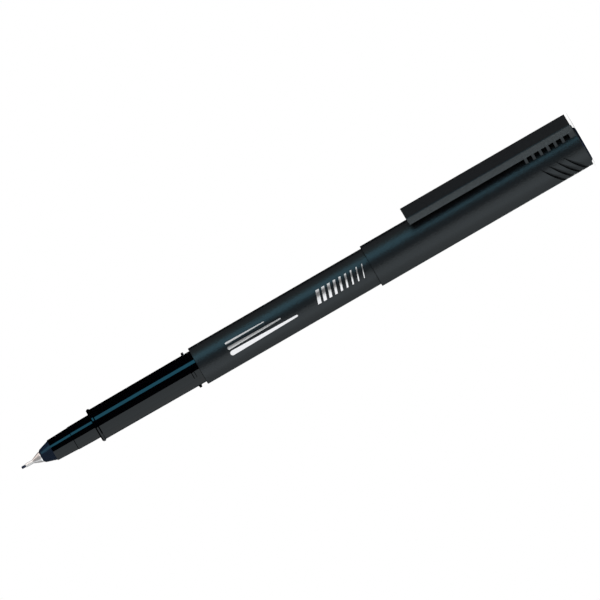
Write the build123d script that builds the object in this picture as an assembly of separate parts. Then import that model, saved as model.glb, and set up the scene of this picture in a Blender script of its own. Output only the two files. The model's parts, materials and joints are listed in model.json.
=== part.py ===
from build123d import *
import os
from math import cos, degrees, radians, sin, tan

# A fineliner pen with its cap posted on the tail. Each piece is drawn with the axis along X,
# the nib's point at zero and the clip towards +Z, and the whole pen is then stood on the flat
# end of the cap, nib up. Sizes are in millimetres. A place that begins with at_ is counted
# along the axis from the nib's point.

# Gaps between pieces that fit together, each on the radius
push_fit = 0.02
cap_fit = 0.05
liner_fit = 0.05
reservoir_fit = 0.05
nib_fit = 0.02

# Nib
nib_d = 0.68
nib_round = 0.22
nib_showing = 1.16
nib_in_reservoir = 5.0

# Steel tube and cone round the nib
tube_wall = 0.12
tube_showing = 2.10
cone_lip = 0.05
cone_taper_len = 1.98
cone_rim_len = 0.25
cone_rim_d = 2.76
cone_shank_d = 1.70
cone_shank_len = 2.60

# Nose cone in the ink's colour
nose_len = 3.19
nose_face_d = 2.60
nose_bevel = 0.45
nose_step = 0.17
nose_shank_len = 12.5

# Grip section: two steps, a sealing bead, the grip and the spigot in the barrel
front_wall = 0.75
step_1_d = 6.00
step_1_taper = 0.40
step_1_len = 5.72
step_rise = 0.09
step_bevel = 0.16
step_2_taper = 0.20
step_2_len = 6.13
bead_len = 1.04
bead_bevel = 0.32
grip_len = 28.28
grip_taper = 0.24
collar_len = 3.00
seat_web = 2.40
section_wall = 1.05
spigot_len = 12.0

# Snap lugs on the grip, which click into a groove in the cap's mouth
lug_count = 4
lug_spread_deg = 26
lug_turn_deg = 72
lug_len = 0.98
lug_setback = 1.32
lug_bevel = 0.22
lug_bite = 0.05

# Barrel
barrel_d = 10.0
barrel_len = 49.02
socket_wall = 0.71
stop_step = 0.29
edge_break = 0.10
rib_count = 4
rib_t = 0.70

# Ink reservoir and tail plug
film_t = 0.12
tail_flange_len = 1.20
tail_lead = 0.40
tail_spigot_len = 5.0
tail_gap = 0.98

# Cap, its liner and its end plug
mouth_seat = 0.15
cap_wall = 0.76
liner_wall = 0.38
liner_lead = 0.80
liner_end_t = 1.00
seal_bite = 0.05
nib_room = 1.68
plug_flange_len = 1.00
plug_socket_len = 6.20
plug_lip = 0.14
plug_wall = 1.00
plug_face_t = 1.40
plug_proud = 0.52
plug_bevel_len = 0.35
plug_bevel_h = 0.43

# Clip and the comb of ribs and windows under its root
clip_w = 5.40
clip_t = 2.10
clip_gap = 1.00
clip_len = 32.29
clip_edge = 0.20
clip_tip_draft = 0.20
clip_setback = 0.27
comb_len = 14.31
comb_rib_count = 6
comb_rib_t = 0.73
comb_pitch = 2.064
comb_block_len = 1.72

# Crescent grip grooves on both sides of the cap: a sharp edge towards the nib, then a ramp out
groove_count = 4
groove_setback = 10.39
groove_pitch = 2.064
groove_tilt_deg = 30.5
groove_start_deg = 58
groove_end_deg = 152
groove_depth = 0.44
groove_ramp_deg = 25
groove_reach = 0.70

# Diameters that follow, from the barrel inwards and out to the cap
socket_d = barrel_d - 2 * socket_wall
barrel_bore_d = socket_d - 2 * stop_step
spigot_d = socket_d - 2 * push_fit
section_bore_d = spigot_d - 2 * section_wall
film_d = section_bore_d - 2 * reservoir_fit
reservoir_d = film_d - 2 * film_t
cap_bore_d = barrel_d - 2 * mouth_seat
cap_d = cap_bore_d + 2 * cap_wall
tail_d = cap_bore_d - 2 * cap_fit
liner_d = cap_bore_d - 2 * liner_fit
liner_bore_d = liner_d - 2 * liner_wall
bead_d = liner_bore_d + 2 * seal_bite
lug_d = cap_bore_d + 2 * lug_bite
plug_socket_d = cap_bore_d - 2 * plug_lip
plug_d = plug_socket_d - 2 * push_fit
grip_front_d = socket_d - grip_taper
step_1_front_d = step_1_d - step_1_taper
step_2_front_d = step_1_d + 2 * step_rise
step_2_d = step_2_front_d + step_2_taper
nose_socket_d = step_1_front_d - 2 * front_wall
nose_d = step_1_front_d - 2 * nose_step
nib_bore_d = nib_d + 2 * nib_fit
tube_d = nib_bore_d + 2 * tube_wall
cone_bore_d = tube_d + 2 * push_fit
cone_front_d = cone_bore_d + 2 * cone_lip

# Places along the axis
at_tube = nib_showing
at_cone = at_tube + tube_showing
at_nose = at_cone + cone_taper_len + cone_rim_len
at_shank_end = at_nose + cone_shank_len
at_step_1 = at_nose + nose_len
at_step_2 = at_step_1 + step_1_len
at_bead = at_step_2 + step_2_len
at_grip = at_bead + bead_len
at_reservoir = at_grip + seat_web
at_barrel = at_grip + grip_len
at_collar = at_barrel - collar_len
at_stop = at_barrel + spigot_len
at_shoulder = at_barrel + barrel_len
at_liner = at_shoulder + grip_len - liner_lead
at_tail = at_liner - tail_gap
at_tail_flange = at_tail - tail_flange_len
at_tail_spigot = at_tail_flange - tail_spigot_len
at_plug = at_shoulder + at_barrel + nib_room + liner_end_t
at_plug_lip = at_plug + plug_flange_len
at_cap_end = at_plug_lip + plug_socket_len
at_comb = at_cap_end - comb_len
at_clip = at_comb - clip_len
overall_len = at_cap_end + plug_proud

# Heights above the axis
clip_under = cap_d / 2 + clip_gap
clip_top = clip_under + clip_t


def turned(*outline):
    """Solid of revolution about the pen's axis, from curves or points (place, radius)."""
    curves = [c for c in outline if not isinstance(c, tuple)]
    face = make_face(curves) if curves else make_face(Polyline(*outline, close=True))
    return revolve(face, Axis.X)


def ring(start, end, outer_d, inner_d):
    """Plain tube between two places on the axis."""
    return turned(
        (start, inner_d / 2), (start, outer_d / 2), (end, outer_d / 2), (end, inner_d / 2)
    )


def rod(start, end, d):
    """Plain cylinder between two places on the axis."""
    return turned((start, 0), (start, d / 2), (end, d / 2), (end, 0))


def side_slab(*points):
    """Slab as wide as the clip, from its outline (place, height) seen from the side."""
    return extrude(Plane.XZ * make_face(Polyline(*points, close=True)), clip_w / 2, both=True)


def nib():
    end = at_reservoir + nib_in_reservoir
    r = nib_d / 2
    return turned(
        Polyline((nib_round, r), (end, r), (end, 0), (0, 0), (0, r - nib_round)),
        RadiusArc((0, r - nib_round), (nib_round, r), nib_round),
    )


def tip_tube():
    return ring(at_tube, at_shank_end, tube_d, nib_bore_d)


def tip_cone():
    rim = at_nose - cone_rim_len
    return turned(
        (at_cone, cone_bore_d / 2),
        (at_cone, cone_front_d / 2),
        (rim, cone_rim_d / 2),
        (at_nose, cone_rim_d / 2),
        (at_nose, cone_shank_d / 2),
        (at_shank_end, cone_shank_d / 2),
        (at_shank_end, cone_bore_d / 2),
    )


def nose_cone():
    face_r = nose_face_d / 2
    shank_r = nose_socket_d / 2 - push_fit
    socket_r = cone_shank_d / 2 + push_fit
    shank_end = at_step_1 + nose_shank_len
    return turned(
        (at_nose, socket_r),
        (at_nose, face_r),
        (at_nose + nose_bevel, face_r + nose_bevel),
        (at_step_1, nose_d / 2),
        (at_step_1, shank_r),
        (shank_end, shank_r),
        (shank_end, nib_bore_d / 2),
        (at_shank_end, nib_bore_d / 2),
        (at_shank_end, socket_r),
    )


def snap_lugs():
    start = at_barrel - lug_setback - lug_len
    end = start + lug_len
    base_r = grip_front_d / 2
    outline = Polyline(
        (start, base_r), (start + lug_bevel, lug_d / 2), (end - lug_bevel, lug_d / 2), (end, base_r),
        close=True,
    )
    lug = Rot(X=-lug_spread_deg / 2) * revolve(make_face(outline), Axis.X, lug_spread_deg)
    first = 90 + lug_turn_deg
    return [Rot(X=first + 360 / lug_count * k) * lug for k in range(lug_count)]


def grip_section():
    body = turned(
        (at_step_1, nose_socket_d / 2),
        (at_step_1, step_1_front_d / 2),
        (at_step_2, step_1_d / 2),
        (at_step_2 + step_bevel, step_2_front_d / 2),
        (at_bead, step_2_d / 2),
        (at_bead, bead_d / 2 - bead_bevel),
        (at_bead + bead_bevel, bead_d / 2),
        (at_grip - bead_bevel, bead_d / 2),
        (at_grip, grip_front_d / 2),
        (at_collar, socket_d / 2),
        (at_barrel, socket_d / 2),
        (at_barrel, spigot_d / 2),
        (at_stop, spigot_d / 2),
        (at_stop, section_bore_d / 2),
        (at_reservoir, section_bore_d / 2),
        (at_reservoir, nose_socket_d / 2),
    )
    return body + snap_lugs()


def ink_reservoir():
    core = rod(at_reservoir, at_tail_spigot, reservoir_d)
    return core - rod(at_reservoir, at_reservoir + nib_in_reservoir, nib_bore_d)


def reservoir_film():
    return ring(at_reservoir, at_tail_spigot, film_d, reservoir_d)


def barrel():
    body = turned(
        (at_barrel, socket_d / 2),
        (at_barrel, barrel_d / 2 - edge_break),
        (at_barrel + edge_break, barrel_d / 2),
        (at_shoulder, barrel_d / 2),
        (at_shoulder, tail_d / 2),
        (at_tail_flange, tail_d / 2),
        (at_tail_flange, barrel_bore_d / 2),
        (at_stop, barrel_bore_d / 2),
        (at_stop, socket_d / 2),
    )
    # Ribs that centre the reservoir and let air past it run into the wall by half the stop
    rib_h = (barrel_bore_d - section_bore_d + stop_step) / 2
    rib_len = at_tail_spigot - at_stop
    rib = Pos(at_stop + rib_len / 2, 0, (section_bore_d + rib_h) / 2) * Box(rib_len, rib_t, rib_h)
    return body + [Rot(X=360 / rib_count * k) * rib for k in range(rib_count)]


def tail_plug():
    spigot_r = barrel_bore_d / 2 - push_fit
    return turned(
        (at_tail_spigot, 0),
        (at_tail_spigot, spigot_r),
        (at_tail_flange, spigot_r),
        (at_tail_flange, tail_d / 2),
        (at_tail - tail_lead, tail_d / 2),
        (at_tail, tail_d / 2 - tail_lead),
        (at_tail, 0),
    )


def inner_cap():
    end = at_plug - liner_end_t
    return turned(
        (at_liner, liner_bore_d / 2),
        (at_liner, liner_d / 2),
        (at_plug, liner_d / 2),
        (at_plug, 0),
        (end, 0),
        (end, liner_bore_d / 2),
    )


def cap_plug():
    flange_r = cap_bore_d / 2 - push_fit
    plug_r = plug_d / 2
    hollow_r = plug_r - plug_wall
    hollow_end = overall_len - plug_face_t
    return turned(
        (at_plug, hollow_r),
        (at_plug, flange_r),
        (at_plug_lip, flange_r),
        (at_plug_lip, plug_r),
        (overall_len - plug_bevel_len, plug_r),
        (overall_len, plug_r - plug_bevel_h),
        (overall_len, 0),
        (hollow_end, 0),
        (hollow_end, hollow_r),
    )


def grip_grooves():
    cap_r = cap_d / 2
    slope = tan(radians(groove_tilt_deg))
    middle_deg = (groove_start_deg + groove_end_deg) / 2
    ramp_len = groove_reach / tan(radians(groove_ramp_deg))
    grooves = []
    for k in range(groove_count):
        edge = at_cap_end - groove_setback + groove_pitch * k
        points = []
        for turn_deg, r in (
            (groove_start_deg, cap_r), (middle_deg, cap_r - groove_depth), (groove_end_deg, cap_r)
        ):
            height = r * cos(radians(turn_deg))
            points.append((edge - height * slope, -r * sin(radians(turn_deg)), height))
        foot = ThreePointArc(*points)
        foot_r = foot.radius
        rim_r = foot_r + groove_reach
        wedge = make_face(Polyline((foot_r, 0), (rim_r, 0), (rim_r, ramp_len), close=True))
        cutter = revolve(Plane.XZ * wedge, Axis.Z, degrees(foot.length / foot_r))
        seat = Plane(foot.arc_center, x_dir=foot @ 0 - foot.arc_center, z_dir=(1, 0, slope))
        groove = seat * cutter
        grooves += [groove, mirror(groove, Plane.XZ)]
    return grooves


def clip_root():
    block = at_cap_end - comb_block_len
    end = at_cap_end - clip_setback
    plate = side_slab(
        (at_comb, clip_under),
        (at_comb, clip_top),
        (end, clip_top),
        (end, 0),
        (block, 0),
        (block, clip_under),
    )
    plate = fillet(plate.edges().filter_by(Axis.X).group_by(Axis.Z)[-1], clip_edge)
    ribs = []
    for k in range(comb_rib_count):
        start = at_comb + comb_pitch * k
        end = start + comb_rib_t
        ribs.append(side_slab((start, 0), (start, clip_under), (end, clip_under), (end, 0)))
    return plate + ribs


def cap_body():
    body = turned(
        (at_shoulder, 0),
        (at_shoulder, cap_d / 2 - edge_break),
        (at_shoulder + edge_break, cap_d / 2),
        (at_cap_end - edge_break, cap_d / 2),
        (at_cap_end, cap_d / 2 - edge_break),
        (at_cap_end, 0),
    )
    snap_start = at_shoulder + lug_setback - cap_fit
    snap_end = snap_start + lug_len + 2 * cap_fit
    snap_r = lug_d / 2 + cap_fit
    bore = turned(
        (at_shoulder, 0),
        (at_shoulder, cap_bore_d / 2),
        (snap_start, cap_bore_d / 2),
        (snap_start, snap_r),
        (snap_end, snap_r),
        (snap_end, cap_bore_d / 2),
        (at_plug_lip, cap_bore_d / 2),
        (at_plug_lip, plug_socket_d / 2),
        (at_cap_end, plug_socket_d / 2),
        (at_cap_end, 0),
    )
    return body + clip_root() - bore - grip_grooves()


def clip():
    arm = side_slab(
        (at_clip + clip_tip_draft, clip_under),
        (at_clip, clip_top),
        (at_comb, clip_top),
        (at_comb, clip_under),
    )
    return fillet(arm.edges().filter_by(Axis.X).group_by(Axis.Z)[-1], clip_edge)


pieces = {
    "nib": nib(),
    "tip_tube": tip_tube(),
    "tip_cone": tip_cone(),
    "nose_cone": nose_cone(),
    "grip_section": grip_section(),
    "ink_reservoir": ink_reservoir(),
    "reservoir_film": reservoir_film(),
    "barrel": barrel(),
    "tail_plug": tail_plug(),
    "inner_cap": inner_cap(),
    "cap_plug": cap_plug(),
    "cap_body": cap_body(),
    "clip": clip(),
}

# The origin is in the middle of the cap's flat end, with the clip on the +X side
stand = Pos(0, 0, overall_len) * Rot(Y=90)
os.makedirs("parts", exist_ok=True)
for name, piece in pieces.items():
    export_step(stand * piece, f"parts/{name}.step")
print(f"overall {overall_len:.2f}, cap across {cap_d:.2f}, clip reaches {clip_top:.2f}")
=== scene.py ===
import json
import math
import bpy
import bmesh
from mathutils import Matrix, Vector


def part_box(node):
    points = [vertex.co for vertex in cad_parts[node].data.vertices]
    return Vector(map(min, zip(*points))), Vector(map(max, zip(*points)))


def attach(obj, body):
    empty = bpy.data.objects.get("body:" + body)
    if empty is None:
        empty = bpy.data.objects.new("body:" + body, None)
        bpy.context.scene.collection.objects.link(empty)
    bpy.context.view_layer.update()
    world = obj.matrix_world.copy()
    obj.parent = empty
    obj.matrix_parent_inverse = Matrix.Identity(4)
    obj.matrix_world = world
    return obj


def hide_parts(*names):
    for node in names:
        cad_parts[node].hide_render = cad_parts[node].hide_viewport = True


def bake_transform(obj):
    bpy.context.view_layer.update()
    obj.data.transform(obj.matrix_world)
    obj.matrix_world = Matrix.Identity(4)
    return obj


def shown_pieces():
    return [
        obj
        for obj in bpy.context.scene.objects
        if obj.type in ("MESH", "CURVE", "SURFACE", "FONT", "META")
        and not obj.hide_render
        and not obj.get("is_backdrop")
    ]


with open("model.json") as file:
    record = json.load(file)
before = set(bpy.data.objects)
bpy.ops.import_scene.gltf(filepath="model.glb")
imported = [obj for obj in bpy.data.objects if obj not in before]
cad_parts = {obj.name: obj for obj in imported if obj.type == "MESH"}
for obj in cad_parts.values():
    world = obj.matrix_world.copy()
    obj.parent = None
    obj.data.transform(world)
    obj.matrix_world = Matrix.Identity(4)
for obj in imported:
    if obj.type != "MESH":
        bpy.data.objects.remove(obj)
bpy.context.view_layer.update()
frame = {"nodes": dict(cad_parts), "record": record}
mm = 0.001


def hexToLinear(code):
    channels = [int(code[k:k + 2], 16) / 255 for k in (1, 3, 5)]
    return [c / 12.92 if c <= 0.04045 else ((c + 0.055) / 1.055) ** 2.4 for c in channels] + [1]


def addNode(tree, kind, settings, links=()):
    # settings are the node's own properties or its input values, links are (input, source socket)
    node = tree.nodes.new(kind)
    for name, value in settings.items():
        if name in node.inputs:
            node.inputs[name].default_value = value
        else:
            setattr(node, name, value)
    for name, source in links:
        tree.links.new(source, node.inputs[name])
    return node


mixFirst = 6        # places of the two colour inputs and the colour output on a Mix node
mixSecond = 7
mixResult = 2


def newMaterial(name):
    material = bpy.data.materials.new(name)
    material.use_nodes = True
    material.node_tree.nodes.clear()
    return material, material.node_tree


def finishMaterial(tree, shader):
    addNode(tree, "ShaderNodeOutputMaterial", {}, [("Surface", shader.outputs["BSDF"])])


# Where the pen is seen from: level with it, the clip turned a little towards the viewer
photoView = {
    "clipTurn": 34.0,       # degrees between the clip and the picture's upper side
    "tilt": 30.018,         # degrees that the pen rises to the right
    "widthMm": 147.06,      # what the picture is wide, at the pen
    "centreMm": (79.46, 1.544),     # picture centre: up the pen, and towards its upper side
    "distance": 6.0,        # metres from the camera to the pen
    "sensorMm": 36.0,
}
turn = math.radians(photoView["clipTurn"])
toViewer = Vector((math.sin(turn), -math.cos(turn), 0))
upperSide = Vector((math.cos(turn), math.sin(turn), 0))
toCap = Vector((0, 0, -1))


def around(degrees):
    # level direction, counted from the viewer towards the pen's upper side in the picture
    a = math.radians(degrees)
    return toViewer * math.cos(a) + upperSide * math.sin(a)


def makeCamera():
    lean = math.radians(photoView["tilt"])
    right = toCap * math.cos(lean) - upperSide * math.sin(lean)
    up = toCap * math.sin(lean) + upperSide * math.cos(lean)
    height, offset = photoView["centreMm"]
    target = Vector((0, 0, height * mm)) + upperSide * offset * mm
    data = bpy.data.cameras.new("photoCamera")
    data.sensor_width = photoView["sensorMm"]
    data.lens = data.sensor_width * photoView["distance"] / (photoView["widthMm"] * mm)
    camera = bpy.data.objects.new("photoCamera", data)
    bpy.context.scene.collection.objects.link(camera)
    axes = Matrix((right, up, toViewer)).transposed().to_4x4()
    camera.matrix_world = Matrix.Translation(target + toViewer * photoView["distance"]) @ axes
    bpy.context.scene.camera = camera


makeCamera()
print("camera ready")


# Moulded ABS with a spark-eroded mould finish: a soft broad highlight and a very fine grain
satinAbs = {
    "colour": "#0a0c0d",
    "paler": "#0e0f11",
    "roughness": (0.28, 0.36),
    "ior": 1.46,
    "grainMm": 0.5,         # the real grain is near 0.05 mm, drawn coarser so that it shows
    "grainDepthMm": 0.055,  # and deeper to go with it
    "grainDetail": 3.0,
    "grainHarshness": 0.6,
    "cloudMm": 7.0,
    "cloudDetail": 2.0,
}


def makeSatinAbs():
    material, tree = newMaterial("satin black moulded ABS")
    place = addNode(tree, "ShaderNodeTexCoord", {})
    grain = addNode(
        tree, "ShaderNodeTexNoise",
        {
            "Scale": 1 / (satinAbs["grainMm"] * mm),
            "Detail": satinAbs["grainDetail"],
            "Roughness": satinAbs["grainHarshness"],
        },
        [("Vector", place.outputs["Object"])],
    )
    cloud = addNode(
        tree, "ShaderNodeTexNoise",
        {"Scale": 1 / (satinAbs["cloudMm"] * mm), "Detail": satinAbs["cloudDetail"]},
        [("Vector", place.outputs["Object"])],
    )
    colour = addNode(
        tree, "ShaderNodeMix",
        {"data_type": "RGBA"},
        [("Factor", cloud.outputs["Fac"])],
    )
    colour.inputs[mixFirst].default_value = hexToLinear(satinAbs["colour"])
    colour.inputs[mixSecond].default_value = hexToLinear(satinAbs["paler"])
    rough = addNode(
        tree, "ShaderNodeMapRange",
        {"To Min": satinAbs["roughness"][0], "To Max": satinAbs["roughness"][1]},
        [("Value", grain.outputs["Fac"])],
    )
    bump = addNode(
        tree, "ShaderNodeBump",
        {"Strength": 1.0, "Distance": satinAbs["grainDepthMm"] * mm},
        [("Height", grain.outputs["Fac"])],
    )
    shader = addNode(
        tree, "ShaderNodeBsdfPrincipled",
        {"IOR": satinAbs["ior"]},
        [
            ("Base Color", colour.outputs[mixResult]),
            ("Roughness", rough.outputs["Result"]),
            ("Normal", bump.outputs["Normal"]),
        ],
    )
    finishMaterial(tree, shader)
    return material


# Polished mould, black polystyrene: mirror-like stripes with a faint handling haze
glossStyrene = {
    "colour": "#010102",
    "roughness": (0.05, 0.09),
    "ior": 1.46,
    "hazeMm": 9.0,
    "hazeDetail": 4.0,
}


def makeGlossStyrene():
    material, tree = newMaterial("gloss black polystyrene")
    place = addNode(tree, "ShaderNodeTexCoord", {})
    haze = addNode(
        tree, "ShaderNodeTexNoise",
        {"Scale": 1 / (glossStyrene["hazeMm"] * mm), "Detail": glossStyrene["hazeDetail"]},
        [("Vector", place.outputs["Object"])],
    )
    rough = addNode(
        tree, "ShaderNodeMapRange",
        {"To Min": glossStyrene["roughness"][0], "To Max": glossStyrene["roughness"][1]},
        [("Value", haze.outputs["Fac"])],
    )
    shader = addNode(
        tree, "ShaderNodeBsdfPrincipled",
        {"Base Color": hexToLinear(glossStyrene["colour"]), "IOR": glossStyrene["ior"]},
        [("Roughness", rough.outputs["Result"])],
    )
    finishMaterial(tree, shader)
    return material


# Ink-coloured polypropylene, moulded: waxy sheen and slight flow clouds in the blue
inkPolypropylene = {
    "colour": "#101925",
    "paler": "#141f2f",
    "roughness": 0.24,
    "ior": 1.49,
    "cloudMm": 1.6,
    "cloudDetail": 2.0,
}


def makeInkPolypropylene():
    material, tree = newMaterial("navy moulded polypropylene")
    place = addNode(tree, "ShaderNodeTexCoord", {})
    cloud = addNode(
        tree, "ShaderNodeTexNoise",
        {
            "Scale": 1 / (inkPolypropylene["cloudMm"] * mm),
            "Detail": inkPolypropylene["cloudDetail"],
        },
        [("Vector", place.outputs["Object"])],
    )
    colour = addNode(
        tree, "ShaderNodeMix",
        {"data_type": "RGBA"},
        [("Factor", cloud.outputs["Fac"])],
    )
    colour.inputs[mixFirst].default_value = hexToLinear(inkPolypropylene["colour"])
    colour.inputs[mixSecond].default_value = hexToLinear(inkPolypropylene["paler"])
    shader = addNode(
        tree, "ShaderNodeBsdfPrincipled",
        {"Roughness": inkPolypropylene["roughness"], "IOR": inkPolypropylene["ior"]},
        [("Base Color", colour.outputs[mixResult])],
    )
    finishMaterial(tree, shader)
    return material


# Stainless steel turned on a lathe: bright, with fine rings round the axis
turnedSteel = {
    "colour": "#d2cdca",
    "metallic": 0.75,
    "roughness": (0.29, 0.35),
    "ringMm": 0.12,         # turning marks are near 0.02 mm, drawn coarser so that they show
    "ringDepthMm": 0.0002,
    "ringDetail": 3.0,
    "ringSqueeze": 0.05,    # share of the scale across the axis, which draws specks out into rings
}


def makeTurnedSteel():
    material, tree = newMaterial("turned stainless steel")
    place = addNode(tree, "ShaderNodeTexCoord", {})
    across = turnedSteel["ringSqueeze"]
    squeeze = addNode(
        tree, "ShaderNodeMapping",
        {"Scale": (across, across, 1.0)},
        [("Vector", place.outputs["Object"])],
    )
    rings = addNode(
        tree, "ShaderNodeTexNoise",
        {"Scale": 1 / (turnedSteel["ringMm"] * mm), "Detail": turnedSteel["ringDetail"]},
        [("Vector", squeeze.outputs["Vector"])],
    )
    rough = addNode(
        tree, "ShaderNodeMapRange",
        {"To Min": turnedSteel["roughness"][0], "To Max": turnedSteel["roughness"][1]},
        [("Value", rings.outputs["Fac"])],
    )
    bump = addNode(
        tree, "ShaderNodeBump",
        {"Strength": 1.0, "Distance": turnedSteel["ringDepthMm"] * mm},
        [("Height", rings.outputs["Fac"])],
    )
    shader = addNode(
        tree, "ShaderNodeBsdfPrincipled",
        {"Base Color": hexToLinear(turnedSteel["colour"]), "Metallic": turnedSteel["metallic"]},
        [("Roughness", rough.outputs["Result"]), ("Normal", bump.outputs["Normal"])],
    )
    finishMaterial(tree, shader)
    return material


# Hot-stamped silver foil: mirrors the studio softly, so it runs from grey to white round the barrel
silverFoil = {
    "colour": "#fcf7f5",
    "duller": "#ebe5e4",
    "metallic": 0.97,
    "roughness": 0.31,
    "speckMm": 0.35,
    "speckDetail": 4.0,
}


def makeSilverFoil():
    material, tree = newMaterial("hot-stamped silver foil")
    place = addNode(tree, "ShaderNodeTexCoord", {})
    speck = addNode(
        tree, "ShaderNodeTexNoise",
        {"Scale": 1 / (silverFoil["speckMm"] * mm), "Detail": silverFoil["speckDetail"]},
        [("Vector", place.outputs["Object"])],
    )
    colour = addNode(
        tree, "ShaderNodeMix",
        {"data_type": "RGBA"},
        [("Factor", speck.outputs["Fac"])],
    )
    colour.inputs[mixFirst].default_value = hexToLinear(silverFoil["colour"])
    colour.inputs[mixSecond].default_value = hexToLinear(silverFoil["duller"])
    shader = addNode(
        tree, "ShaderNodeBsdfPrincipled",
        {"Metallic": silverFoil["metallic"], "Roughness": silverFoil["roughness"]},
        [("Base Color", colour.outputs[mixResult])],
    )
    finishMaterial(tree, shader)
    return material


# Bonded polyester fibre soaked in ink: matte, with streaks along the strands
inkedFibre = {
    "colour": "#0f1322",
    "paler": "#242b45",
    "roughness": 0.8,
    "strandMm": 0.08,       # strands are near 0.02 mm, drawn coarser so that they show
    "strandDetail": 2.0,
    "strandStretch": 0.06,  # share of the scale along the axis, which draws specks out into strands
}


def makeInkedFibre():
    material, tree = newMaterial("ink-soaked polyester fibre")
    place = addNode(tree, "ShaderNodeTexCoord", {})
    stretch = addNode(
        tree, "ShaderNodeMapping",
        {"Scale": (1.0, 1.0, inkedFibre["strandStretch"])},
        [("Vector", place.outputs["Object"])],
    )
    strands = addNode(
        tree, "ShaderNodeTexNoise",
        {"Scale": 1 / (inkedFibre["strandMm"] * mm), "Detail": inkedFibre["strandDetail"]},
        [("Vector", stretch.outputs["Vector"])],
    )
    colour = addNode(
        tree, "ShaderNodeMix",
        {"data_type": "RGBA"},
        [("Factor", strands.outputs["Fac"])],
    )
    colour.inputs[mixFirst].default_value = hexToLinear(inkedFibre["colour"])
    colour.inputs[mixSecond].default_value = hexToLinear(inkedFibre["paler"])
    shader = addNode(
        tree, "ShaderNodeBsdfPrincipled",
        {"Roughness": inkedFibre["roughness"]},
        [("Base Color", colour.outputs[mixResult])],
    )
    finishMaterial(tree, shader)
    return material


# Undyed polypropylene: milky, lets a little light through
milkyPolypropylene = {
    "colour": "#e6e5dd",
    "roughness": (0.27, 0.43),
    "ior": 1.49,
    "cloudMm": 3.0,
    "cloudDetail": 2.0,
    "milkiness": 0.4,       # share of the light that goes in before it comes back
    "depthMm": 0.4,
}


def makeMilkyPolypropylene():
    material, tree = newMaterial("undyed polypropylene")
    place = addNode(tree, "ShaderNodeTexCoord", {})
    cloud = addNode(
        tree, "ShaderNodeTexNoise",
        {
            "Scale": 1 / (milkyPolypropylene["cloudMm"] * mm),
            "Detail": milkyPolypropylene["cloudDetail"],
        },
        [("Vector", place.outputs["Object"])],
    )
    rough = addNode(
        tree, "ShaderNodeMapRange",
        {
            "To Min": milkyPolypropylene["roughness"][0],
            "To Max": milkyPolypropylene["roughness"][1],
        },
        [("Value", cloud.outputs["Fac"])],
    )
    shader = addNode(
        tree, "ShaderNodeBsdfPrincipled",
        {
            "Base Color": hexToLinear(milkyPolypropylene["colour"]),
            "IOR": milkyPolypropylene["ior"],
            "Subsurface Weight": milkyPolypropylene["milkiness"],
            "Subsurface Scale": milkyPolypropylene["depthMm"] * mm,
        },
        [("Roughness", rough.outputs["Result"])],
    )
    finishMaterial(tree, shader)
    return material


# Clear wrapping film round the reservoir, heat-shrunk: glassy with faint wrinkles
clearFilm = {
    "colour": "#eef2f4",
    "roughness": 0.12,
    "ior": 1.5,
    "wrinkleMm": 1.2,
    "wrinkleDepthMm": 0.02,
    "wrinkleDetail": 2.0,
}


def makeClearFilm():
    material, tree = newMaterial("clear shrink film")
    place = addNode(tree, "ShaderNodeTexCoord", {})
    wrinkle = addNode(
        tree, "ShaderNodeTexNoise",
        {"Scale": 1 / (clearFilm["wrinkleMm"] * mm), "Detail": clearFilm["wrinkleDetail"]},
        [("Vector", place.outputs["Object"])],
    )
    bump = addNode(
        tree, "ShaderNodeBump",
        {"Strength": 1.0, "Distance": clearFilm["wrinkleDepthMm"] * mm},
        [("Height", wrinkle.outputs["Fac"])],
    )
    shader = addNode(
        tree, "ShaderNodeBsdfPrincipled",
        {
            "Base Color": hexToLinear(clearFilm["colour"]),
            "Roughness": clearFilm["roughness"],
            "IOR": clearFilm["ior"],
            "Transmission Weight": 1.0,
        },
        [("Normal", bump.outputs["Normal"])],
    )
    finishMaterial(tree, shader)
    return material


finishes = {
    "satin_black_plastic": makeSatinAbs(),
    "gloss_black_plastic": makeGlossStyrene(),
    "navy_plastic": makeInkPolypropylene(),
    "natural_plastic": makeMilkyPolypropylene(),
    "clear_film": makeClearFilm(),
    "steel": makeTurnedSteel(),
    "nib_fibre": makeInkedFibre(),
}
finishes["ink_fibre"] = finishes["nib_fibre"]
for part in frame["record"]["subparts"]:
    mesh = frame["nodes"][part["node"]].data
    mesh.materials.clear()
    mesh.materials.append(finishes[part["material_slot"]])


def newPiece(name, verts, faces, material):
    mesh = bpy.data.meshes.new(name)
    mesh.from_pydata(verts, [], faces)
    mesh.materials.append(material)
    mesh.validate()
    piece = bpy.data.objects.new(name, mesh)
    bpy.context.scene.collection.objects.link(piece)
    return piece


def faceOutwards(piece):
    shaped = bmesh.new()
    shaped.from_mesh(piece.data)
    bmesh.ops.recalc_face_normals(shaped, faces=shaped.faces)
    shaped.to_mesh(piece.data)
    shaped.free()


# Foil print on the barrel: graded pen strokes and a run of slanted hatching
foilPrint = {
    "thickMm": 0.03,
    "sinkMm": 0.015,
    "acrossParts": 6,
    "alongParts": 48,
    "tipMm": 0.001,         # least half width at a stroke's rounded end
    "strokeFromMm": 100.8,  # height of the strokes' thick ends
    "strokes": [            # length, thick end, thin end, place round the barrel, all in mm
        (19.0, 1.30, 0.50, -1.45),
        (15.0, 0.85, 0.36, 0.05),
        (11.0, 0.55, 0.22, 1.40),
    ],
    "hatchFromMm": 75.6,
    "hatchPitchMm": 1.62,
    "hatchCount": 9,
    "hatchHeightMm": 3.4,
    "hatchThickMm": (0.95, 0.22),
    "hatchSlant": 0.32,     # lean along the pen for each mm round it
    "hatchMiddleMm": 0.0,
}
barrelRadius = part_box("barrel")[1].y
foil = makeSilverFoil()


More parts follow.
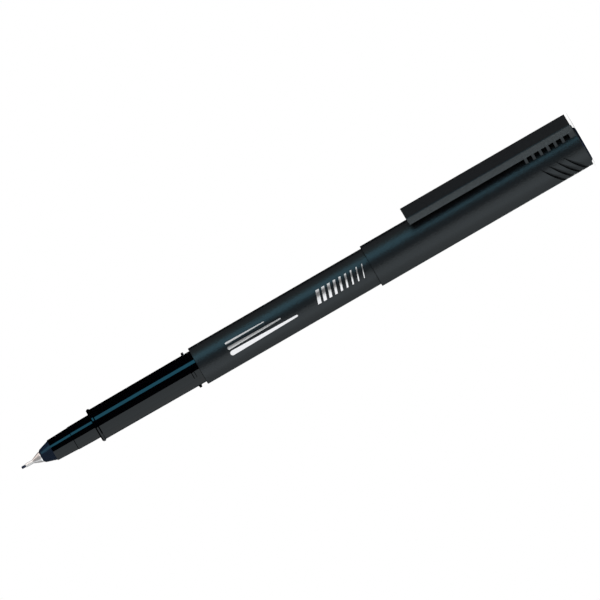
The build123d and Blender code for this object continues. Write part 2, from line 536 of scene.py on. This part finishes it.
def onBarrel(height, aside, proud):
    # a point on the barrel from its height up the pen and its place round it, both in mm
    side = around(math.degrees(aside * mm / barrelRadius))
    return side * (barrelRadius + proud * mm) + Vector((0, 0, height * mm))


def foilPatch(name, rows):
    # rows of (height, aside) points become a thin closed patch that follows the barrel
    top = foilPrint["thickMm"] - foilPrint["sinkMm"]
    count = len(rows[0])
    verts = [onBarrel(h, a, top) for row in rows for h, a in row]
    verts += [onBarrel(h, a, -foilPrint["sinkMm"]) for row in rows for h, a in row]
    below = len(rows) * count
    faces = []
    for i in range(len(rows) - 1):
        for j in range(count - 1):
            a = i * count + j
            quad = (a, a + 1, a + count + 1, a + count)
            faces.append(quad)
            faces.append(tuple(below + k for k in reversed(quad)))
    rim = list(range(count))
    rim += [i * count + count - 1 for i in range(1, len(rows))]
    rim += [(len(rows) - 1) * count + j for j in range(count - 2, -1, -1)]
    rim += [i * count for i in range(len(rows) - 2, 0, -1)]
    for k, a in enumerate(rim):
        b = rim[(k + 1) % len(rim)]
        faces.append((b, a, below + a, below + b))
    piece = newPiece(name, verts, faces, foil)
    faceOutwards(piece)
    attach(piece, "barrel")


def makeFoilPrint():
    parts = foilPrint["acrossParts"]
    steps = foilPrint["alongParts"]
    for k, (length, thick, thin, aside) in enumerate(foilPrint["strokes"]):
        rows = []
        for i in range(steps + 1):
            share = 0.5 - 0.5 * math.cos(math.pi * i / steps)
            half = (thick + (thin - thick) * share) / 2
            fromEnd = min(share, 1 - share) * length
            if fromEnd < half:  # rounded ends
                half = math.sqrt(max(half * half - (half - fromEnd) ** 2, foilPrint["tipMm"] ** 2))
            height = foilPrint["strokeFromMm"] - length * share
            rows.append([(height, aside + half * (2 * j / parts - 1)) for j in range(parts + 1)])
        foilPatch(f"foil_stroke_{k + 1}", rows)
    first, last = foilPrint["hatchThickMm"]
    for k in range(foilPrint["hatchCount"]):
        thick = first + (last - first) * k / (foilPrint["hatchCount"] - 1)
        start = foilPrint["hatchFromMm"] - foilPrint["hatchPitchMm"] * k
        rows = []
        for edge in (0, thick):
            row = []
            for j in range(2 * parts + 1):
                rise = foilPrint["hatchHeightMm"] * (j / (2 * parts) - 0.5)
                height = start - edge - foilPrint["hatchSlant"] * rise
                row.append((height, foilPrint["hatchMiddleMm"] + rise))
            rows.append(row)
        foilPatch(f"foil_hatch_{k + 1}", rows)


makeFoilPrint()
print("foil print on the barrel")


# Clip arm: one moulding with the cap, so the real arm bends near its root instead of hinging; here it is
# drawn as a straight arm with rounded edges in place of the clip node
clipArm = {
    "edgeMm": 0.2,
    "edgeSteps": 5,
    "bendMm": 9.0,          # length of the stretch that bends
    "rings": 40,
    "draftMm": 0.2,         # the free end leans back under the outer face
    "sharpAngle": 35,       # degrees: edges that turn more than this stay sharp
}


def makeClipArm():
    low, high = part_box("clip")
    edge = clipArm["edgeMm"] * mm
    outline = [(low.x, high.y), (low.x, low.y)]
    for side in (-1, 1):
        for k in range(clipArm["edgeSteps"] + 1):
            a = math.radians(90 * k / clipArm["edgeSteps"])
            a = a if side < 0 else math.radians(90) - a
            x = high.x - edge + edge * math.sin(a)
            y = side * (high.y - edge + edge * math.cos(a))
            outline.append((x, y))
    verts, faces = [], []
    for i in range(clipArm["rings"] + 1):
        share = i / clipArm["rings"]
        for x, y in outline:
            tip = high.z - clipArm["draftMm"] * mm * (high.x - x) / (high.x - low.x)
            verts.append((x, y, low.z + (tip - low.z) * share))
    count = len(outline)
    for i in range(clipArm["rings"]):
        for j in range(count):
            a, b = i * count + j, i * count + (j + 1) % count
            faces.append((a, b, b + count, a + count))
    faces.append(tuple(reversed(range(count))))
    faces.append(tuple(clipArm["rings"] * count + j for j in range(count)))
    piece = newPiece("clip_arm", verts, faces, finishes["satin_black_plastic"])
    faceOutwards(piece)
    piece.data.shade_smooth()
    piece.data.set_sharp_from_angle(angle=math.radians(clipArm["sharpAngle"]))
    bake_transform(piece)
    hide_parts("clip")


makeClipArm()
print("clip arm shaped")


# The studio: a white room, a small pale table, lamps and a ring of black flags and white card.
# The ring stands round the pen and shows only as reflections in it. Sizes are in metres.
studio = {
    "white": "#ffffff",
    "roomStrength": 1.0,
    "tableRadius": 0.16,
    "tableSides": 96,
    "tableColour": "#898989",
    "tableGlow": 0.55,      # a lit table top: with the key and the room it is white
    "keyAt": 0,             # degrees round from the viewer
    "keyRise": 72,          # degrees above the table
    "keyAway": 1.2,
    "keySize": 0.2,
    "keyShare": 0.35,       # what the key adds to the table, where 1 is white
    "ringRadius": 0.45,
    "ringLow": -0.45,
    "cardHigh": 0.26,
    "ringHigh": 0.80,
    "ringSides": 48,        # of its lid and floor
    "panelSteps": 24,       # of each upright panel
    "front": (-17, 27),     # degrees from the viewer to the pen's upper side
    "side": (27, 180),
    "flagColour": "#020202",
    "card": (-17, -70),     # even part of the white card
    "cardFade": -180,       # from its end the card fades to black, up to here
    "cardFall": 1.6,        # how steeply it fades
    "cardColour": "#ecf9ff",
    "cardStrength": 1.04,
    "cardSlices": 12,
    "stripRadius": 0.42,
    "underAt": -0.44,       # height of a dim light that satin and metal mirror in views from above
    "underRadiance": 0.5,
    "underShinesOn": ("barrel", "cap_body", "clip_arm", "nose_cone", "foil", "tip_"),
}

# Upright strip lights, each for one stretch of the pen: where it stands in degrees from the viewer,
# how wide it looks from the pen, how high it reaches, and its colour and radiance
strips = {
    "grip strip": {
        "at": 42, "spread": 22, "high": 0.36, "colour": "#66d6ff", "radiance": 2.55,
        "shinesOn": ("grip_section", "nib"),
    },
    "grip low": {
        "at": -106, "spread": 50, "high": 0.36, "colour": "#fff6f2", "radiance": 0.10,
        "shinesOn": ("grip_section",),
    },
    "nose strip": {
        "at": 54, "spread": 36, "high": 0.70, "colour": "#7fdcfb", "radiance": 1.2,
        "shinesOn": ("nose_cone",),
    },
    "barrel strip": {
        "at": 48, "spread": 36, "high": 0.36, "colour": "#9de3ff", "radiance": 2.02,
        "shinesOn": ("barrel",),
    },
    "barrel fill": {
        "at": 105, "spread": 80, "high": 0.36, "colour": "#fafaff", "radiance": 0.155,
        "shinesOn": ("barrel", "cap_body", "clip_arm"),
    },
    "barrel flank": {
        "at": 76, "spread": 26, "high": 0.36, "colour": "#eafff6", "radiance": 0.32,
        "shinesOn": ("barrel", "cap_body"),
    },
    "satin front": {
        "at": 8, "spread": 50, "high": 0.36, "colour": "#d7eeff", "radiance": 0.22,
        "shinesOn": ("barrel", "cap_body", "clip_arm"),
    },
    "satin low": {
        "at": -54, "spread": 92, "high": 0.36, "colour": "#d8edff", "radiance": 0.25,
        "shinesOn": ("barrel", "cap_body", "clip_arm"),
    },
    "cap strip": {
        "at": 47, "spread": 36, "high": 0.36, "colour": "#9de3ff", "radiance": 1.97,
        "shinesOn": ("cap_body", "clip_arm"),
    },
    "plug fill": {
        "at": -5, "spread": 130, "high": 0.20, "colour": "#6f90ff", "radiance": 0.8,
        "shinesOn": ("cap_plug",),
    },
    "tube strip": {
        "at": 60, "spread": 100, "high": 0.60, "colour": "#ffffff", "radiance": 2.1,
        "shinesOn": ("tip_tube",),
    },
    "tube front": {
        "at": 8, "spread": 22, "high": 0.60, "colour": "#ffffff", "radiance": 0.9,
        "shinesOn": ("tip_tube",),
    },
    "cone strip": {
        "at": 88, "spread": 80, "high": 0.95, "colour": "#fff0eb", "radiance": 1.18,
        "shinesOn": ("tip_cone",),
    },
    "cone fill": {
        "at": -66, "spread": 118, "high": 0.95, "colour": "#ecf7ff", "radiance": 0.86,
        "shinesOn": ("tip_cone",),
    },
    "cone rim": {
        "at": 42, "spread": 84, "high": 0.20, "colour": "#ffffff", "radiance": 1.9,
        "shinesOn": ("tip_cone",),
    },
    "foil strip": {
        "at": 48, "spread": 36, "high": 0.36, "colour": "#f2fbff", "radiance": 1.1,
        "shinesOn": ("foil",),
    },
    "foil front": {
        "at": -10, "spread": 16, "high": 0.36, "colour": "#f3fcff", "radiance": 1.07,
        "shinesOn": ("foil",),
    },
    "foil low": {
        "at": -38, "spread": 34, "high": 0.36, "colour": "#fdd2cd", "radiance": 0.155,
        "shinesOn": ("foil",),
    },
    "grip back": {
        "at": 180, "spread": 24, "high": 0.07, "colour": "#eef4f6", "radiance": 1.5,
        "shinesOn": ("grip_section",),
    },
    "back strip": {
        "at": 180, "spread": 34, "high": 0.02, "colour": "#eef4f6", "radiance": 1.5,
        "shinesOn": ("barrel", "cap_body", "clip_arm", "nose_cone"),
    },
}


def makeRoom():
    world = bpy.data.worlds.new("white room")
    world.use_nodes = True
    background = world.node_tree.nodes["Background"]
    background.inputs["Color"].default_value = hexToLinear(studio["white"])
    background.inputs["Strength"].default_value = studio["roomStrength"]
    bpy.context.scene.world = world


def placeLamp(name, data, place, back, receivers):
    # a lamp that looks against the direction back and shines on the receivers alone
    lamp = bpy.data.objects.new(name, data)
    bpy.context.scene.collection.objects.link(lamp)
    lamp.location = place
    lamp.rotation_mode = "QUATERNION"
    lamp.rotation_quaternion = (-back).to_track_quat("-Z", "Y")
    lamp.visible_camera = False
    lit = bpy.data.collections.new(name + " shines on")
    for piece in receivers:
        lit.objects.link(piece)
    lamp.light_linking.receiver_collection = lit


def makeTable():
    material, tree = newMaterial("white table")
    pale = hexToLinear(studio["tableColour"])
    shader = addNode(
        tree, "ShaderNodeBsdfPrincipled",
        {
            "Base Color": pale,
            "Roughness": 1.0,
            "Specular IOR Level": 0.0,
            "Emission Color": hexToLinear(studio["white"]),
            "Emission Strength": studio["tableGlow"],
        },
    )
    finishMaterial(tree, shader)
    count = studio["tableSides"]
    radius = studio["tableRadius"]
    ring = [2 * math.pi * k / count for k in range(count)]
    verts = [(radius * math.cos(a), radius * math.sin(a), 0) for a in ring]
    table = newPiece("table", verts, [tuple(range(count))], material)
    table.visible_glossy = False
    table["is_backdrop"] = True
    # the key lamp lifts open table to white and leaves the pen's shadow on it
    data = bpy.data.lights.new("key", "AREA")
    data.size = studio["keySize"]
    rise = math.radians(studio["keyRise"])
    away = studio["keyAway"]
    # the watts that add its share of white at that distance and slope
    data.energy = studio["keyShare"] / pale[0] * math.pi ** 2 * away ** 2 / math.sin(rise)
    lean = around(studio["keyAt"]) * math.cos(rise) + Vector((0, 0, math.sin(rise)))
    placeLamp("key", data, lean * away, lean, [table])


def onlyReflected(panel):
    panel.visible_camera = False
    panel.visible_diffuse = False
    panel.visible_shadow = False
    panel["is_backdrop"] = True


def arcPanel(name, span, low, high, material):
    steps = studio["panelSteps"]
    verts = []
    for k in range(steps + 1):
        side = around(span[0] + (span[1] - span[0]) * k / steps) * studio["ringRadius"]
        verts.append((side.x, side.y, low))
        verts.append((side.x, side.y, high))
    faces = [(2 * k, 2 * k + 2, 2 * k + 3, 2 * k + 1) for k in range(steps)]
    onlyReflected(newPiece(name, verts, faces, material))


def discPanel(name, height, material):
    count = studio["ringSides"]
    sides = [around(360 * k / count) * studio["ringRadius"] for k in range(count)]
    verts = [(side.x, side.y, height) for side in sides]
    onlyReflected(newPiece(name, verts, [tuple(range(count))], material))


def panelMaterial(name, colour, strength):
    material, tree = newMaterial(name)
    shader = addNode(
        tree, "ShaderNodeBsdfPrincipled",
        {
            "Base Color": hexToLinear(studio["flagColour"]),
            "Roughness": 1.0,
            "Specular IOR Level": 0.0,
            "Emission Color": hexToLinear(colour),
            "Emission Strength": strength,
        },
    )
    finishMaterial(tree, shader)
    return material


def makeReflections():
    black = panelMaterial("black flag cloth", studio["flagColour"], 0.0)
    arcPanel("flag_front", studio["front"], studio["ringLow"], studio["ringHigh"], black)
    arcPanel("flag_side", studio["side"], studio["ringLow"], studio["ringHigh"], black)
    discPanel("flag_above", studio["ringHigh"], black)
    discPanel("flag_below", studio["ringLow"], black)
    even, fadeFrom = studio["card"]
    arcPanel("flag_over_card", (even, studio["cardFade"]), studio["cardHigh"], studio["ringHigh"], black)
    edges = [even]
    for k in range(studio["cardSlices"] + 1):
        edges.append(fadeFrom + (studio["cardFade"] - fadeFrom) * k / studio["cardSlices"])
    for k in range(len(edges) - 1):
        share = max(k - 0.5, 0) / studio["cardSlices"]
        white = panelMaterial(
            f"cool white card {k + 1}", studio["cardColour"],
            studio["cardStrength"] * (1 - share) ** studio["cardFall"],
        )
        arcPanel(f"card_{k + 1}", edges[k:k + 2], studio["ringLow"], studio["cardHigh"], white)


def piecesNamed(starts):
    return [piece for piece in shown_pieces() if piece.name.startswith(starts)]


def makeStrips():
    low = studio["ringLow"]
    for name, strip in strips.items():
        high = strip["high"]
        data = bpy.data.lights.new(name, "AREA")
        data.shape = "RECTANGLE"
        data.size = 2 * studio["stripRadius"] * math.tan(math.radians(strip["spread"] / 2))
        data.size_y = high - low
        data.color = hexToLinear(strip["colour"])[:3]
        data.energy = strip["radiance"] * math.pi * data.size * data.size_y     # watts
        side = around(strip["at"])
        place = side * studio["stripRadius"] + Vector((0, 0, (low + high) / 2))
        placeLamp(name, data, place, side, piecesNamed(strip["shinesOn"]))


def makeUnderLight():
    data = bpy.data.lights.new("under light", "AREA")
    data.shape = "DISK"
    data.size = 2 * studio["stripRadius"]
    data.energy = studio["underRadiance"] * (math.pi * studio["stripRadius"]) ** 2     # watts
    place = Vector((0, 0, studio["underAt"]))
    placeLamp("under light", data, place, Vector((0, 0, -1)), piecesNamed(studio["underShinesOn"]))


# A gridded sliver of light that the clip's near side mirrors to the camera
clipLight = {
    "at": -68,              # degrees from the viewer
    "awayMm": 25.0,
    "beam": 1.5,            # degrees that its grid lets through
    "colour": "#e4faff",
    "level": 0.085,         # watts that fall on each square metre in the beam
    "pastMm": 0.5,          # how far it reaches past the side's outer edge
    "shinesOn": ("cap_body", "clip_arm"),
}


def makeClipLight():
    low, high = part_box("clip")
    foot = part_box("cap_body")[0].z
    side = around(clipLight["at"])
    data = bpy.data.lights.new("clip light", "AREA")
    data.shape = "RECTANGLE"
    outer = high.x + clipLight["pastMm"] * mm
    data.size = (outer - low.x) * abs(side.y)
    data.size_y = high.z - foot
    data.spread = math.radians(clipLight["beam"])
    data.color = hexToLinear(clipLight["colour"])[:3]
    data.energy = clipLight["level"] * data.size * data.size_y
    middle = Vector(((low.x + outer) / 2, low.y, (foot + high.z) / 2))
    place = middle + side * clipLight["awayMm"] * mm
    placeLamp("clip light", data, place, side, piecesNamed(clipLight["shinesOn"]))


# A sliver of flag at the clip's edge keeps the cap's strip light out of the slot under the clip
slotFlag = {
    "reachMm": 1.5,         # from the clip's edge towards the viewer
}


def makeSlotFlag():
    low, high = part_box("clip")
    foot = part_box("cap_body")[0].z
    near = Vector((high.x, low.y, 0))
    far = near + toViewer * slotFlag["reachMm"] * mm
    verts = [(side.x, side.y, height) for height in (foot, high.z) for side in (near, far)]
    black = panelMaterial("black foil", studio["flagColour"], 0.0)
    flag = newPiece("flag_slot", verts, [(0, 1, 3, 2)], black)
    flag.visible_camera = False
    flag.visible_diffuse = False
    flag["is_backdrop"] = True


makeRoom()
makeTable()
makeReflections()
makeSlotFlag()
makeStrips()
makeUnderLight()
makeClipLight()
bpy.context.scene.view_settings.view_transform = "Standard"
print("studio lit")
